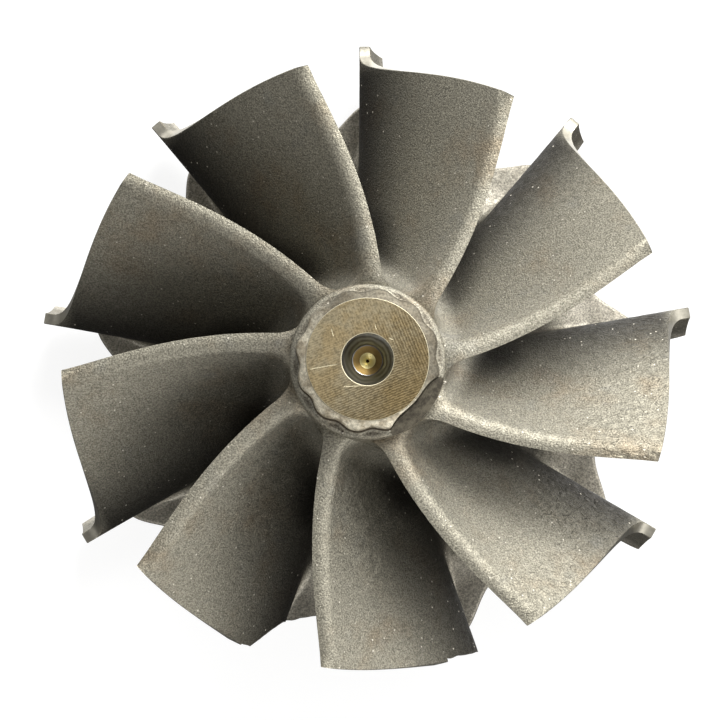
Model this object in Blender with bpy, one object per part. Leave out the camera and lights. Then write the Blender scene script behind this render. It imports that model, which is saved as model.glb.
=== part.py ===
"""Radial turbine wheel of a turbocharger: one investment casting in nickel alloy.

The wheel lies on its back. Its axis is +Z, its origin is the middle of the flat boss on the back,
and its nose points up. Angles run counter-clockwise seen from the nose, from +X.
"""

import math

import bmesh
import bpy
from mathutils import Matrix, Vector

MM = 0.001

# Driving dimensions
BLADES = 9
PITCH = 2 * math.pi / BLADES
FIRST_TIP = math.radians(101.6)

# Back boss and disc, whose rim turns out into a horn at each blade
BOSS_RADIUS = 8.0 * MM
BACK_PLANE = 1.8 * MM
DISC_RADIUS = 27.3 * MM
DISC_FRONT = 3.5 * MM
DISC_HORN = 4.6 * MM
DISC_HORN_WIDTH = 3.8 * MM
RIM_BEVEL = 0.3 * MM

# Hub, as a superellipse from the collar down to the disc
COLLAR_RADIUS = 8.42 * MM
COLLAR_TOP = 32.8 * MM
HUB_TOP = 31.2 * MM
HUB_SHAPE = 1.8
HUB_OVERLAP = 0.05 * MM

# Blade outline: outlet edge at the top, shroud edge as a superellipse, inlet edge at the rim
OUTLET_RADIUS = 33.2 * MM
OUTLET_TIP = 29.6 * MM
INLET_RADIUS = 37.1 * MM
INLET_TOP = 12.0 * MM
SHROUD_SHAPE = 2.8
DISC_SHARE = 0.72
FIN_BACK = 2.1 * MM
FIN_CORNER = 1.2 * MM

# Blade camber, as turns about the axis
WRAP = math.radians(28.9)
WRAP_SHAPE = 1.25
CAMBER_TOP = 12.2 * MM
INLET_LEAN = math.radians(2.1)
INLET_LEAN_SHAPE = 1.5
ROOT_LEAN = math.radians(13.5)
ROOT_LEAN_SHAPE = 1.3

# Blade thickness; the outlet edge is rounded over OUTLET_ROUND half thicknesses, and its end keeps
# OUTLET_FLAT of the thickness
SHROUD_THICKNESS = 1.25 * MM
ROOT_THICKNESS = 2.9 * MM
INLET_ROOT_THICKNESS = 1.8 * MM
THICKNESS_SHAPE = 0.4
OUTLET_ROUND = 1.25
OUTLET_FLAT = 0.45
ROOT_FILLET = 0.75 * MM
ROOT_DEPTH = 1.2 * MM

# 12-point drive on the nose
DRIVE_CORNER = 7.7 * MM
DRIVE_VALLEY = 7.25 * MM
NOSE_TOP = 37.0 * MM
FACE_RADIUS = 6.54 * MM
DRIVE_CHAMFER = math.radians(25)
FIRST_DRIVE_POINT = math.radians(19)
DRIVE_CORNERS = 24

# Centre drill hole in the nose face: a cone down to a seat, whose floor falls to a pilot hole
DRILL_MOUTH = 2.78 * MM
DRILL_SEAT = 1.65 * MM
DRILL_SEAT_DEPTH = 2.2 * MM
DRILL_PILOT = 0.85 * MM
DRILL_DEPTH = 4.6 * MM
DRILL_CONE = math.radians(30)
DRILL_POINT = math.radians(59)

# Balance cut ground into the side of the nose
GRIND_MIDDLE = math.radians(-42)
GRIND_HALF = math.radians(36)
GRIND_RADIUS = 6.9 * MM
GRIND_RUN_OUT = 9.0 * MM
GRIND_FLOOR = 33.4 * MM
GRIND_FALL = 1.0 * MM

# Broken inlet corners of two blades: x and y in mm along each break, seen from the nose
BREAKS = (
    ((6.0, -32.6), (18.0, -30.6)),
    ((-20.0, -29.3), (-16.3, -29.7), (-13.1, -30.8), (-10.9, -29.1), (-9.6, -28.2), (-5.6, -27.5)),
)
BREAK_TOP = 17.5 * MM
BREAK_OUT = 42 * MM

# Mesh density: spans run from the root to the shroud edge, with the root fillet's share at each
RIM_STEPS = 10
HUB_RINGS = 12
OUTLET_STEPS = (0.004, 0.02)
CHORD_STEPS = 14
SPANS = (0.0, 0.05, 0.14, 0.32, 0.6, 1.0)
FILLETS = (1.0, 0.45, 0.08, 0.0, 0.0, 0.0)
DRILL_SIDES = 24
GRIND_STEPS = 12


def clear_scene():
    for obj in list(bpy.data.objects):
        bpy.data.objects.remove(obj, do_unlink=True)


def polar(radius, angle, height):
    return Vector((radius * math.cos(angle), radius * math.sin(angle), height))


def smooth(x):
    x = min(max(x, 0.0), 1.0)
    return x * x * (3 - 2 * x)


def blend(start, end, share):
    return start + (end - start) * share


def make_mesh(name, bm):
    bmesh.ops.remove_doubles(bm, verts=bm.verts, dist=1e-7)
    bmesh.ops.recalc_face_normals(bm, faces=bm.faces)
    mesh = bpy.data.meshes.new(name)
    bm.to_mesh(mesh)
    bm.free()
    return mesh


def add_object(name, bm):
    obj = bpy.data.objects.new(name, make_mesh(name, bm))
    bpy.context.scene.collection.objects.link(obj)
    return obj


def add_tool(name, bm):
    """A body that a Boolean joins or cuts with, which isn't a piece itself."""
    tool = add_object(name, bm)
    tool.hide_render = True
    tool.display_type = "WIRE"
    return tool


def bridge(bm, lower, upper):
    """Faces between two closed rings of as many points."""
    count = len(lower)
    for i in range(count):
        j = (i + 1) % count
        bm.faces.new((lower[i], lower[j], upper[j], upper[i]))


def ring_of(bm, points):
    return [bm.verts.new(p) for p in points]


def close_ring(bm, ring, middle):
    centre = bm.verts.new(middle)
    for i, vert in enumerate(ring):
        bm.faces.new((vert, ring[(i + 1) % len(ring)], centre))


def hub_point(t):
    """Radius and height on the hub's front face: t 0 at the nose end, 1 at the disc's rim."""
    turn = t * math.pi / 2
    power = 2 / HUB_SHAPE
    radius = blend(DISC_RADIUS, COLLAR_RADIUS, math.cos(turn) ** power)
    height = blend(HUB_TOP, DISC_FRONT, math.sin(turn) ** power)
    return radius, height


def shroud_point(t):
    """Radius and height on the blade's outer edge: t 0 at the outlet tip, 1 at the inlet."""
    turn = t * math.pi / 2
    power = 2 / SHROUD_SHAPE
    radius = blend(INLET_RADIUS, OUTLET_RADIUS, math.cos(turn) ** power)
    height = blend(OUTLET_TIP, INLET_TOP, math.sin(turn) ** power)
    return radius, height


def fin_share(t):
    """How far t is from the disc's rim to the inlet edge."""
    return (t - DISC_SHARE) / (1 - DISC_SHARE)


def root_point(t):
    """Where the blade meets the hub; past the disc's rim, just above the fin's back edge."""
    if t < DISC_SHARE:
        return hub_point(t / DISC_SHARE)
    return blend(DISC_RADIUS, INLET_RADIUS, fin_share(t)), DISC_FRONT


def sunk_point(t):
    """The blade's lowest line: inside the hub, and along the fin's back edge past the disc."""
    radius, height = root_point(t)
    if t >= DISC_SHARE:
        return radius, FIN_BACK + FIN_CORNER * fin_share(t) ** 6
    share = t / DISC_SHARE
    return radius - ROOT_DEPTH * (1 - share), height - (DISC_FRONT - FIN_BACK) * smooth(share)


def camber(radius, height):
    """Angle of the blade's middle surface from its own outlet tip."""
    if height < CAMBER_TOP:
        share = (CAMBER_TOP - height) / (CAMBER_TOP - FIN_BACK)
        return WRAP - INLET_LEAN * share**INLET_LEAN_SHAPE
    share = (height - CAMBER_TOP) / (OUTLET_TIP - CAMBER_TOP)
    inward = (OUTLET_RADIUS - radius) / (OUTLET_RADIUS - COLLAR_RADIUS)
    inward = min(max(inward, 0.0), 1.2)
    lean = ROOT_LEAN * inward**ROOT_LEAN_SHAPE * smooth(share)
    return WRAP * (1 - share**WRAP_SHAPE) - lean


def half_thickness(t, span, fillet):
    """Half the blade's thickness; the root fillet fades where the blade leaves the disc."""
    root = blend(ROOT_THICKNESS, INLET_ROOT_THICKNESS, smooth(t / 0.9))
    thick = blend(root, SHROUD_THICKNESS, span**THICKNESS_SHAPE)
    fade = 1 - smooth((t - 0.6) / 0.25)
    return thick / 2 + ROOT_FILLET * fillet * fade


def skin_point(t, radius, height, half, side):
    """A point of the blade's skin, off its middle surface within the cylinder of its radius.

    It lies square off the surface at the outlet edge, and level with it further along.
    """
    step = 0.05 * MM
    slope = radius * (camber(radius, height + step) - camber(radius, height - step)) / (2 * step)
    norm = math.hypot(1, slope)
    square = 1 - smooth(t / 0.25)
    across = half * (norm * (1 - square) + square / norm)
    rise = -half * square * slope / norm
    return polar(radius, camber(radius, height) + side * across / radius, height + side * rise)


def blade_places(t):
    """Radius, height, span and fillet share of each row of the blade at t, from its root up."""
    outer = shroud_point(t)
    inner = root_point(t)
    places = [(*sunk_point(t), 0.0, 1.0)]
    for span, fillet in zip(SPANS, FILLETS):
        places.append((blend(inner[0], outer[0], span), blend(inner[1], outer[1], span), span, fillet))
    return places


def edge_share(place, edge):
    """The share of its thickness that the blade has so near its rounded outlet edge."""
    points = [polar(radius, camber(radius, height), height) for radius, height, _, _ in (place, edge)]
    away = (points[1] - points[0]).length / (OUTLET_ROUND * half_thickness(0, *edge[2:]))
    return max(OUTLET_FLAT, math.sqrt(1 - max(1 - away, 0) ** 2))


def blade_outline(t):
    """The closed outline of the blade's section at t: up one face and down the other."""
    faces = ([], [])
    for place, edge in zip(blade_places(t), blade_places(0)):
        radius, height, span, fillet = place
        half = half_thickness(t, span, fillet) * edge_share(place, edge)
        for face, side in zip(faces, (1, -1)):
            face.append(skin_point(t, radius, height, half, side))
    return faces[0] + faces[1][::-1]


def add_blade(bm, turn):
    """One blade as a closed skin: two faces, and the edges at outlet, inlet, tip and root."""
    rows = []
    for t in (0, *OUTLET_STEPS, *(step / CHORD_STEPS for step in range(1, CHORD_STEPS + 1))):
        rows.append(ring_of(bm, [turn @ p for p in blade_outline(t)]))
    for first, second in zip(rows, rows[1:]):
        bridge(bm, first, second)
    for row in (rows[0], rows[-1]):
        for i in range(len(row) // 2 - 1):
            bm.faces.new((row[i], row[i + 1], row[-2 - i], row[-1 - i]))


def build_blades():
    bm = bmesh.new()
    for blade in range(BLADES):
        add_blade(bm, Matrix.Rotation(FIRST_TIP - blade * PITCH, 3, "Z"))
    return add_tool("blades", bm)


def rim_angles():
    """Angles round the disc, closer together beside the blades, where the rim turns out."""
    fin = FIRST_TIP + camber(DISC_RADIUS, DISC_FRONT)
    angles = []
    for blade in range(BLADES):
        for step in range(RIM_STEPS):
            share = 2 * step / RIM_STEPS - 1
            spread = blend(share**3, share, 0.45)
            angles.append(fin + blade * PITCH + spread * PITCH / 2)
    return angles


def rim_radius(angle):
    """Radius of the disc's rim, which turns out into a horn at each blade."""
    fin = FIRST_TIP + camber(DISC_RADIUS, DISC_FRONT)
    away = (angle - fin + PITCH / 2) % PITCH - PITCH / 2
    away = abs(away) * DISC_RADIUS
    return DISC_RADIUS + DISC_HORN * math.exp(-((away / DISC_HORN_WIDTH) ** 2))


def build_hub():
    """Boss, scalloped disc, hub and collar, as rings about the axis."""
    bm = bmesh.new()
    angles = rim_angles()

    def plain(radius, height):
        return ring_of(bm, [polar(radius, a, height) for a in angles])

    def scalloped(inset, height):
        return ring_of(bm, [polar(rim_radius(a) - inset, a, height) for a in angles])

    rings = [
        plain(BOSS_RADIUS - RIM_BEVEL, 0),
        plain(BOSS_RADIUS, RIM_BEVEL),
        plain(BOSS_RADIUS + RIM_BEVEL, BACK_PLANE),
        plain(DISC_RADIUS - 3.5 * MM, BACK_PLANE),
        scalloped(RIM_BEVEL, BACK_PLANE),
        scalloped(0, BACK_PLANE + RIM_BEVEL),
        scalloped(0, DISC_FRONT - RIM_BEVEL),
        scalloped(RIM_BEVEL, DISC_FRONT),
    ]
    for step in range(HUB_RINGS - 1, -1, -1):
        radius, height = hub_point(step / HUB_RINGS)
        rings.append(plain(radius, height + HUB_OVERLAP))
    rings.append(plain(COLLAR_RADIUS, COLLAR_TOP - RIM_BEVEL))
    rings.append(plain(COLLAR_RADIUS - RIM_BEVEL, COLLAR_TOP))
    for lower, upper in zip(rings, rings[1:]):
        bridge(bm, lower, upper)
    close_ring(bm, rings[0], Vector((0, 0, 0)))
    close_ring(bm, rings[-1], Vector((0, 0, COLLAR_TOP)))
    return add_object("wheel_casting", bm)


def build_nose():
    """The 12-point drive, chamfered up to the flat face."""
    bm = bmesh.new()
    slope = math.tan(DRIVE_CHAMFER)
    places = []
    for corner in range(DRIVE_CORNERS):
        radius = DRIVE_VALLEY if corner % 2 else DRIVE_CORNER
        places.append((radius, FIRST_DRIVE_POINT + corner * 2 * math.pi / DRIVE_CORNERS))
    base = ring_of(bm, [polar(r, a, COLLAR_TOP - MM) for r, a in places])
    edge = ring_of(bm, [polar(r, a, NOSE_TOP - slope * (r - FACE_RADIUS)) for r, a in places])
    face = ring_of(bm, [polar(FACE_RADIUS, a, NOSE_TOP) for _, a in places])
    bridge(bm, base, edge)
    bridge(bm, edge, face)
    bm.faces.new(face)
    bm.faces.new(base)
    return add_tool("nose", bm)


def build_centre_drill():
    """The centre hole's form: a 60 degree cone, its seat, a pilot hole and the drill's point."""
    bm = bmesh.new()
    angles = [i * 2 * math.pi / DRILL_SIDES for i in range(DRILL_SIDES)]
    over = MM
    cone = math.tan(DRILL_CONE)
    point = math.tan(DRILL_POINT)
    seat_end = NOSE_TOP - DRILL_SEAT_DEPTH
    pilot_end = NOSE_TOP - DRILL_DEPTH
    profile = (
        (DRILL_MOUTH + over * cone, NOSE_TOP + over),
        (DRILL_SEAT, NOSE_TOP - (DRILL_MOUTH - DRILL_SEAT) / cone),
        (DRILL_SEAT, seat_end),
        (DRILL_PILOT, seat_end - (DRILL_SEAT - DRILL_PILOT) / point),
        (DRILL_PILOT, pilot_end),
    )
    rings = [ring_of(bm, [polar(r, a, z) for a in angles]) for r, z in profile]
    for upper, lower in zip(rings, rings[1:]):
        bridge(bm, upper, lower)
    close_ring(bm, rings[0], Vector((0, 0, NOSE_TOP + over)))
    close_ring(bm, rings[-1], Vector((0, 0, pilot_end - DRILL_PILOT / point)))
    return add_tool("centre_drill", bm)


def build_balance_cut():
    """The ground arc: a step round one side of the nose that runs out at both ends."""
    bm = bmesh.new()
    outer = COLLAR_RADIUS + 2 * MM
    rows = []
    for step in range(GRIND_STEPS + 1):
        share = 2 * step / GRIND_STEPS - 1
        angle = GRIND_MIDDLE + share * GRIND_HALF
        inner = blend(GRIND_RADIUS, GRIND_RUN_OUT, share**4)
        places = (
            (inner, NOSE_TOP + MM),
            (inner, GRIND_FLOOR),
            (outer, GRIND_FLOOR - GRIND_FALL),
            (outer, NOSE_TOP + MM),
        )
        rows.append(ring_of(bm, [polar(r, angle, z) for r, z in places]))
    for first, second in zip(rows, rows[1:]):
        bridge(bm, first, second)
    bm.faces.new(rows[0])
    bm.faces.new(rows[-1])
    return add_tool("balance_cut", bm)


def break_block(bm, edge):
    """A block from the broken edge outwards, past the blade and the disc."""
    inner = [Vector((x * MM, y * MM, 0)) for x, y in edge]
    outer = [p.normalized() * BREAK_OUT for p in reversed(inner)]
    outline = inner + outer
    rings = [ring_of(bm, [p + Vector((0, 0, z)) for p in outline]) for z in (-MM, BREAK_TOP)]
    bridge(bm, *rings)
    bm.faces.new(rings[0])
    bm.faces.new(rings[1])


def build_breaks():
    bm = bmesh.new()
    for edge in BREAKS:
        break_block(bm, edge)
    return add_tool("broken_corners", bm)


def alloy():
    material = bpy.data.materials.new("cast_nickel_alloy")
    material.use_nodes = True
    shader = material.node_tree.nodes["Principled BSDF"]
    shader.inputs["Base Color"].default_value = (0.24, 0.22, 0.18, 1)
    shader.inputs["Metallic"].default_value = 1.0
    shader.inputs["Roughness"].default_value = 0.6
    return material


def main():
    clear_scene()
    casting = build_hub()
    steps = (
        ("Blades", build_blades(), "UNION"),
        ("Nose", build_nose(), "UNION"),
        ("Centre drill", build_centre_drill(), "DIFFERENCE"),
        ("Balance cut", build_balance_cut(), "DIFFERENCE"),
        ("Broken corners", build_breaks(), "DIFFERENCE"),
    )
    for name, tool, operation in steps:
        modifier = casting.modifiers.new(name, "BOOLEAN")
        modifier.operation = operation
        modifier.object = tool
    casting.data.materials.append(alloy())


main()
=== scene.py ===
"""Visual model of a radial turbine wheel: one cast nickel alloy wheel, lying on its back.

The wheel's axis is +Z and its nose points up. Lengths are in metres. Angles run counter-clockwise
seen from the nose, from +X.
"""

import math

import bmesh
import bpy
import numpy as np
from bpy.props import FloatProperty, FloatVectorProperty, IntProperty, PointerProperty
from mathutils import Matrix, Vector, noise


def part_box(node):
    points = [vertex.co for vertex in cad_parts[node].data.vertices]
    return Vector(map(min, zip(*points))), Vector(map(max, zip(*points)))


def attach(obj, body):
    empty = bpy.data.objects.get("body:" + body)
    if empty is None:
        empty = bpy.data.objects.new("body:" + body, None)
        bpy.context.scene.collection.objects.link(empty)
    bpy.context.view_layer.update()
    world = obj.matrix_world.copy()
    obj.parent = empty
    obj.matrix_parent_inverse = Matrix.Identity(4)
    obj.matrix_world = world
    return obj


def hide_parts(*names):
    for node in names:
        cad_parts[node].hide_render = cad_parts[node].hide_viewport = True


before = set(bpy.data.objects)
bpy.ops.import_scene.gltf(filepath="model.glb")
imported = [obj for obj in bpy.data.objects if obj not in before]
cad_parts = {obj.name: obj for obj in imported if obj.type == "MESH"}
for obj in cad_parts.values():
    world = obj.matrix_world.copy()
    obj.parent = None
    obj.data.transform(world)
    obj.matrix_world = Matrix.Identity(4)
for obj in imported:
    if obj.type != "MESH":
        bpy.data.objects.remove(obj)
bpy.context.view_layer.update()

bl_info = {
    "name": "Radial turbine wheel",
    "version": (1, 0, 0),
    "blender": (4, 5, 0),
    "location": "View3D > Sidebar > Turbine wheel",
    "description": "Builds a cast radial turbine wheel and the stage that it is shown on",
    "category": "Add Mesh",
}

MM = 0.001
SOLID = "wheel_casting"
NOSE_TOP = float(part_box(SOLID)[1][2])

# Back boss and disc, whose rim turns out into a horn at each blade
BOSS_RADIUS = 8.0 * MM
BOSS_EDGE = 0.3 * MM
BOSS_FILLET = 0.6 * MM
BACK_PLANE = 1.8 * MM
DISC_RADIUS = 27.3 * MM
DISC_FRONT = 3.5 * MM
DISC_HORN = 4.6 * MM
DISC_HORN_WIDTH = 3.8 * MM
RIM_ROUND = 0.45 * MM

# Hub, as a superellipse from the collar down to the disc
COLLAR_RADIUS = 8.42 * MM
COLLAR_TOP = 32.8 * MM
COLLAR_ROUND = 0.55 * MM
HUB_TOP = 31.2 * MM
HUB_SHAPE = 1.8
HUB_ROWS = 48
HUB_SIDES = 40  # to a blade
DISC_RINGS = (12 * MM, 17 * MM, 21 * MM, 24 * MM)
CORE_RADIUS = 4.0 * MM  # hidden ring of the hub's top and the nose's foot

# Blade outline: outlet edge at the top, shroud edge as a superellipse, inlet edge at the rim
FIRST_TIP = math.radians(101.6)
OUTLET_TIP = 29.6 * MM
INLET_TOP = 12.0 * MM
SHROUD_SHAPE = 2.8
DISC_SHARE = 0.72
FIN_BACK = 2.1 * MM
FIN_CORNER = 1.2 * MM
FIN_CORNER_SHAPE = 6

# Blade camber, as turns about the axis
WRAP = math.radians(28.9)
WRAP_SHAPE = 1.25
CAMBER_TOP = 12.2 * MM
INLET_LEAN = math.radians(2.1)
INLET_LEAN_SHAPE = 1.5
ROOT_LEAN = math.radians(13.5)
ROOT_LEAN_SHAPE = 1.3

# Blade thickness, and the shares of the chord, from the outlet, where it changes
ROOT_THICKNESS = 2.9 * MM
INLET_ROOT_THICKNESS = 1.8 * MM
THICKNESS_SHAPE = 0.4
OUTLET_THINNING = 0.85
OUTLET_THICKENS_BY = 0.3
ROOT_THINS_BY = 0.9
FILLET_FADES_FROM = 0.6
FILLET_FADES_OVER = 0.25
SQUARE_UNTIL = 0.25
EDGE_BREAK = 0.07 * MM
FILLET_HEIGHT = 2.2 * MM
ROOT_DEPTH = 1.4 * MM

# Outlet edge: its crest's bevel and rounded shoulder, and the rows of points on a blade's skin
OUTLET_ROUND = 0.68
CREST_TILT = 0.68
CREST_BREAK = 0.14 * MM
OUTLET_ROWS = 9
OUTLET_CROWDING = 1.6
CHORD_ROWS = 42
FINE_ROWS = 1201
FILLET_ROWS = 7
FACE_ROWS = 15

# 12-point drive on the nose; the higher DRIVE_VALLEY is, the sharper are its valleys
DRIVE_CORNER = 7.7 * MM
DRIVE_FLATS = 14.0 * MM
DRIVE_ROUND = 0.25 * MM
DRIVE_VALLEY = 90
DRIVE_FOOT = 0.4 * MM
FACE_RADIUS = 6.54 * MM
FACE_EDGE = 0.05 * MM
FACE_STEP = 0.13 * MM
EDGE_DROP = 0.02 * MM
DRIVE_CHAMFER = math.radians(25)
NOSE_SIDES = 288
FIRST_DRIVE_POINT = math.radians(19)

# The drive's rounded upper edge: inset, drop below its chamfer's line, and finish
DRIVE_EDGE = (
    (0, 1.2 * MM, "cast"),
    (0, 0.42 * MM, "drive"),
    (0.03 * MM, 0.22 * MM, "drive"),
    (0.12 * MM, 0.09 * MM, "drive"),
    (0.28 * MM, 0, "drive"),
)

# Centre drill hole in the nose face
DRILL_MOUTH = 2.78 * MM
DRILL_SEAT = 1.65 * MM
DRILL_SEAT_DEPTH = 2.2 * MM
DRILL_PILOT = 0.85 * MM
DRILL_DEPTH = 4.6 * MM
DRILL_CONE = math.radians(30)
DRILL_POINT = math.radians(59)

# Balance cut ground into the side of the nose
GRIND_MIDDLE = math.radians(-42)
GRIND_HALF = math.radians(36)
GRIND_RADIUS = 6.72 * MM
GRIND_RUN_OUT = 9.0 * MM
GRIND_OUTER = COLLAR_RADIUS + 1.5 * MM
GRIND_FLOOR = 32.7 * MM
GRIND_FALL = 1.4 * MM
GRIND_SHAPE = 4
GRIND_STEPS = 60

# Broken inlet corners of two blades: x and y in mm along each break, seen from the nose
BREAKS = (
    ((6.0, -32.6), (18.0, -30.6)),
    ((-20.0, -29.3), (-16.3, -29.7), (-13.1, -30.8), (-10.9, -29.1), (-9.6, -28.2), (-5.6, -27.5)),
)
BREAK_TOP = 17.5 * MM
BREAK_OUT = 42 * MM
BREAK_STEP = 0.45 * MM
BREAK_ROUGHNESS = 0.16 * MM
BREAK_GRAIN = 1.1 * MM
BREAK_APART = 7.3

# Scratches on the nose face: x and y in mm of both ends
SCRATCHES = (
    ((-6.30, -1.08), (-3.05, -0.50)),
    ((-2.62, -2.92), (-0.30, -2.78)),
    ((0.80, 3.75), (0.95, 3.15)),
    ((2.30, 2.30), (2.75, 2.05)),
    ((-3.85, 3.30), (-3.60, 2.40)),
)
SCRATCH_WIDTH = 0.1 * MM
SCRATCH_DEPTH = 0.04 * MM
SCRATCH_TAPER = 0.12

# Cast lumps on the collar: angle, radius, height and size
NUBS = (
    (math.radians(-15.1), 8.55 * MM, 31.8 * MM, 0.32 * MM),
    (math.radians(-109.5), 8.1 * MM, 32.75 * MM, 0.16 * MM),
)
NUB_GRAIN = 0.3 * MM
NUB_ROUGHNESS = 0.35

# Casting beads: smallest and largest radius, and the seed that scatters them
BEAD_SMALLEST = 0.03 * MM
BEAD_LARGEST = 0.065 * MM
BEAD_SEED = 5

# The photograph's camera: its distance from the nose face, its tilt, and where the face's middle lies
CAMERA_DISTANCE = 0.380
CAMERA_TILT = math.radians(3.35)
METRES_PER_PIXEL = 0.0001062
PICTURE_SIDE = 720
NOSE_PIXEL = (367.6, 359.2)
SENSOR = 36.0
CAMERA_CLIP = 0.01

# Key light at the upper right, and the floor's half side and drop below the wheel
KEY_PLACE = (0.173, 0.339, 0.355)
KEY_AIM = (0, 0, 15 * MM)
KEY_SIZE = 0.34
FLOOR_HALF = 3.0
FLOOR_DROP = 0.1 * MM

# Map Range nodes ease in and out; a Wave node of this scale has one line a metre
SOFT = {"interpolation_type": "SMOOTHSTEP"}
WAVE = math.pi / 10

# Rays that find how open to the sky a point is: their number, start, length and turn from one to
# the next, the least sum of their weights, and the rounds of blur after them
RAYS = 48
RAY_START = 0.05 * MM
RAY_LENGTH = 0.1
GOLDEN_ANGLE = 2.399963
LEAST_SKY = 0.3
SKY_BLUR = 6

# Edges are sharp past this many degrees
SHARP_ANGLE = 32


def linear(code):
    """The linear colour of an sRGB hex value, with full alpha."""
    values = [int(code[i:i + 2], 16) / 255 for i in (1, 3, 5)]
    return (*(v / 12.92 if v <= 0.04045 else ((v + 0.055) / 1.055) ** 2.4 for v in values), 1)


class WheelSettings(bpy.types.PropertyGroup):
    blades: IntProperty(name="Blades", description="Blades round the wheel", default=9, min=3)
    outlet_radius: FloatProperty(
        name="Outlet radius", description="From the axis to a blade's tip at the outlet",
        default=33.2 * MM, unit="LENGTH",
    )
    inlet_radius: FloatProperty(
        name="Inlet radius", description="From the axis to a blade's inlet edge",
        default=37.1 * MM, unit="LENGTH",
    )
    shroud_thickness: FloatProperty(
        name="Shroud thickness", description="Width of a blade's machined outer edge",
        default=1.25 * MM, unit="LENGTH",
    )
    root_fillet: FloatProperty(
        name="Root fillet", description="Radius where a blade meets the hub",
        default=1.3 * MM, unit="LENGTH",
    )
    beads: IntProperty(
        name="Casting beads", description="Tiny proud grains that the mould left on the cast faces",
        default=320, min=0,
    )
    alloy_colour: FloatVectorProperty(
        name="Cast alloy", description="Colour of the blasted casting",
        default=linear("#888477"), subtype="COLOR", size=4,
    )
    # Colour of the painted shade that darkens the cast alloy in corners that see little sky and low between
    # the blades
    painted_shade_colour: FloatVectorProperty(
        name="Painted shade", description="Colour of the film low in the blade passages",
        default=linear("#1C1A18"), subtype="COLOR", size=4,
    )
    face_colour: FloatVectorProperty(
        name="Nose face", description="Colour of the sawn and ground nose face",
        default=linear("#A0957A"), subtype="COLOR", size=4,
    )


class StageSettings(bpy.types.PropertyGroup):
    floor_colour: FloatVectorProperty(
        name="Floor", description="Colour of the plain floor",
        default=linear("#7E7E7D"), subtype="COLOR", size=4,
    )
    floor_glow: FloatProperty(
        name="Floor glow", description="Light that the floor gives off, as over a light table",
        default=0.84, min=0,
    )
    key_power: FloatProperty(
        name="Key light", description="Power of the large soft light at the upper right",
        default=4.6, unit="POWER",
    )
    sky: FloatProperty(
        name="Surrounding light", description="Strength of the soft light from all round",
        default=2.0, min=0,
    )


def smooth(x):
    x = np.clip(x, 0, 1)
    return x * x * (3 - 2 * x)


def blend(start, end, share):
    return start + (end - start) * share


def polar(radius, angle, height):
    """Points from arrays of radius, angle and height, as rows of x, y and z."""
    return np.stack(np.broadcast_arrays(radius * np.cos(angle), radius * np.sin(angle), height), -1)


def hub_point(t):
    """Radius and height on the hub's front face: t 0 at the nose end, 1 at the disc's rim."""
    turn = np.clip(t, 0, 1) * math.pi / 2
    power = 2 / HUB_SHAPE
    radius = blend(DISC_RADIUS, COLLAR_RADIUS, np.cos(turn) ** power)
    height = blend(HUB_TOP, DISC_FRONT, np.sin(turn) ** power)
    return radius, height


def shroud_point(t, wheel):
    """Radius and height on the blade's outer edge: t 0 at the outlet tip, 1 at the inlet."""
    turn = t * math.pi / 2
    power = 2 / SHROUD_SHAPE
    radius = blend(wheel.inlet_radius, wheel.outlet_radius, np.cos(turn) ** power)
    height = blend(OUTLET_TIP, INLET_TOP, np.sin(turn) ** power)
    return radius, height


def fin_share(t):
    """How far t is from the disc's rim to the inlet edge."""
    return np.clip((t - DISC_SHARE) / (1 - DISC_SHARE), 0, 1)


def root_point(t, wheel):
    """Where the blade meets the hub; past the disc's rim, just above the fin's back edge."""
    radius, height = hub_point(t / DISC_SHARE)
    return blend(radius, wheel.inlet_radius, fin_share(t)), height


def sunk_point(t, wheel):
    """The blade's lowest line: inside the hub, and along the fin's back edge past the disc."""
    radius, height = root_point(t, wheel)
    share = np.clip(t / DISC_SHARE, 0, 1)
    depth = (DISC_FRONT - FIN_BACK) * smooth(share)
    return radius - ROOT_DEPTH * (1 - share), height - depth + FIN_CORNER * fin_share(t) ** FIN_CORNER_SHAPE


def camber(radius, height, wheel):
    """Angle of the blade's middle surface from its own outlet tip."""
    share = np.clip((CAMBER_TOP - height) / (CAMBER_TOP - FIN_BACK), 0, None)
    low = WRAP - INLET_LEAN * share**INLET_LEAN_SHAPE
    share = np.clip((height - CAMBER_TOP) / (OUTLET_TIP - CAMBER_TOP), 0, None)
    inward = (wheel.outlet_radius - radius) / (wheel.outlet_radius - COLLAR_RADIUS)
    lean = ROOT_LEAN * np.clip(inward, 0, 1.2) ** ROOT_LEAN_SHAPE * smooth(share)
    return np.where(height < CAMBER_TOP, low, WRAP * (1 - share**WRAP_SHAPE) - lean)


def blade_half(t, span, flare, wheel):
    """Half the blade's thickness; flare is the root fillet's share, which fades past the disc."""
    root = blend(ROOT_THICKNESS, INLET_ROOT_THICKNESS, smooth(t / ROOT_THINS_BY))
    thick = blend(root, wheel.shroud_thickness, span**THICKNESS_SHAPE)
    thick = thick * blend(OUTLET_THINNING, 1, smooth(t / OUTLET_THICKENS_BY))
    fillet = wheel.root_fillet * (1 - smooth((t - FILLET_FADES_FROM) / FILLET_FADES_OVER))
    return thick / 2 + fillet * flare


def skin_points(t, radius, height, half, side, wheel):
    """The blade's skin, off its middle surface: square at the outlet edge, level further along."""
    step = 0.05 * MM
    turned = camber(radius, height + step, wheel) - camber(radius, height - step, wheel)
    slope = radius * turned / (2 * step)
    norm = np.hypot(1, slope)
    square = 1 - smooth(t / SQUARE_UNTIL)
    across = half * (norm * (1 - square) + square / norm)
    rise = -half * square * slope / norm
    angle = camber(radius, height, wheel) + side * across / radius
    return polar(radius, angle, height + side * rise)


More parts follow.
